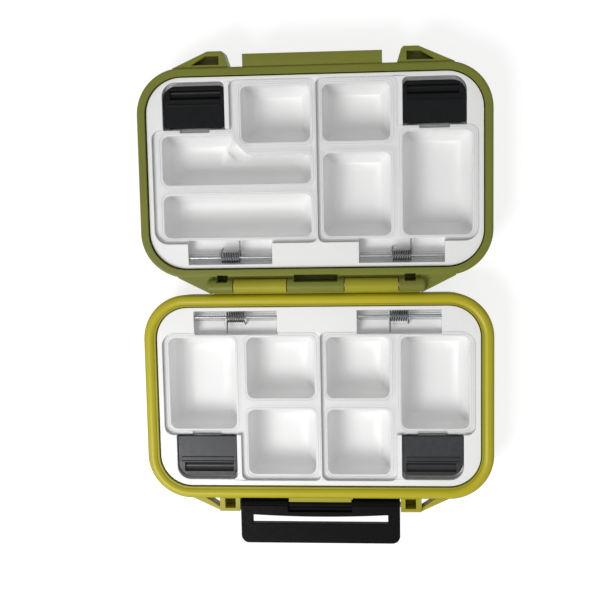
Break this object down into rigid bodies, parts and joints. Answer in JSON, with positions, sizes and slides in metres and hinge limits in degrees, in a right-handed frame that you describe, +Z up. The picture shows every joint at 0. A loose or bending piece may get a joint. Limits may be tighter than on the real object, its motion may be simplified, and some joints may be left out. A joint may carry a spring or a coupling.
{
  "type": "pocket tackle box",
  "caption": "Pocket clamshell tackle box laid open, with a white tray of cells under clear sprung covers in each half, catch buttons and a front latch.",
  "frame": {"origin": "centre of the base half's back face, which lies on the table", "axes": "+X along the hinge, +Y from the base half towards the lid half, +Z up out of the trays"},
  "size_m": [0.1208, 0.1706, 0.0199],
  "materials": {
    "base_plastic": "satin moulded plastic",
    "lid_plastic": "satin moulded plastic",
    "seal": "soft moulded rubber",
    "tray": "smooth white plastic",
    "clear_cover": "clear polished plastic",
    "button_plastic": "satin black plastic",
    "black_plastic": "satin black plastic",
    "steel": "drawn wire",
    "spring_steel": "drawn wire"
  },
  "bodies": {
    "base": {"base_shell": "base_plastic", "base_seal": "seal", "base_tray": "tray", "main_hinge_pin": "steel", "latch_pin": "steel", "base_left_cover_pin": "steel", "base_left_spring": "spring_steel", "base_left_return": "spring_steel", "base_right_cover_pin": "steel", "base_right_spring": "spring_steel", "base_right_return": "spring_steel"},
    "lid": {"lid_shell": "lid_plastic", "lid_tray": "tray", "lid_left_cover_pin": "steel", "lid_left_spring": "spring_steel", "lid_left_return": "spring_steel", "lid_right_cover_pin": "steel", "lid_right_spring": "spring_steel", "lid_right_return": "spring_steel"},
    "latch": {"latch": "black_plastic"},
    "lid_left_cover": {"lid_left_cover": "clear_cover"},
    "lid_left_button": {"lid_left_button": "button_plastic"},
    "lid_right_cover": {"lid_right_cover": "clear_cover"},
    "lid_right_button": {"lid_right_button": "button_plastic"},
    "base_left_cover": {"base_left_cover": "clear_cover"},
    "base_left_button": {"base_left_button": "button_plastic"},
    "base_right_cover": {"base_right_cover": "clear_cover"},
    "base_right_button": {"base_right_button": "button_plastic"}
  },
  "joints": [
    {"name": "lid_hinge", "type": "hinge", "parent": "base", "child": "lid", "pos_m": [0, 0.03905, 0.0175], "axis": [-1, 0, 0], "range_deg": [-180, 0]},
    {"name": "latch_hinge", "type": "hinge", "parent": "base", "child": "latch", "pos_m": [0, -0.03875, 0.0141], "axis": [1, 0, 0], "range_deg": [-90, 45]},
    {"name": "lid_left_cover_hinge", "type": "hinge", "parent": "lid", "child": "lid_left_cover", "pos_m": [-0.02935, 0.0487, 0.0148], "axis": [1, 0, 0], "range_deg": [0, 95]},
    {"name": "lid_left_button_slide", "type": "slide", "parent": "lid", "child": "lid_left_button", "axis": [0, 1, 0], "range_m": [0, 0.0012], "stiffness_N_per_m": 150, "deforming": ["lid_left_return"]},
    {"name": "lid_right_cover_hinge", "type": "hinge", "parent": "lid", "child": "lid_right_cover", "pos_m": [0.02935, 0.0487, 0.0148], "axis": [1, 0, 0], "range_deg": [0, 95]},
    {"name": "lid_right_button_slide", "type": "slide", "parent": "lid", "child": "lid_right_button", "axis": [0, 1, 0], "range_m": [0, 0.0012], "stiffness_N_per_m": 150, "deforming": ["lid_right_return"]},
    {"name": "base_left_cover_hinge", "type": "hinge", "parent": "base", "child": "base_left_cover", "pos_m": [-0.02825, 0.028, 0.0148], "axis": [-1, 0, 0], "range_deg": [0, 95]},
    {"name": "base_left_button_slide", "type": "slide", "parent": "base", "child": "base_left_button", "axis": [0, -1, 0], "range_m": [0, 0.0012], "stiffness_N_per_m": 150, "deforming": ["base_left_return"]},
    {"name": "base_right_cover_hinge", "type": "hinge", "parent": "base", "child": "base_right_cover", "pos_m": [0.02825, 0.028, 0.0148], "axis": [-1, 0, 0], "range_deg": [0, 95]},
    {"name": "base_right_button_slide", "type": "slide", "parent": "base", "child": "base_right_button", "axis": [0, -1, 0], "range_m": [0, 0.0012], "stiffness_N_per_m": 150, "deforming": ["base_right_return"]}
  ]
}
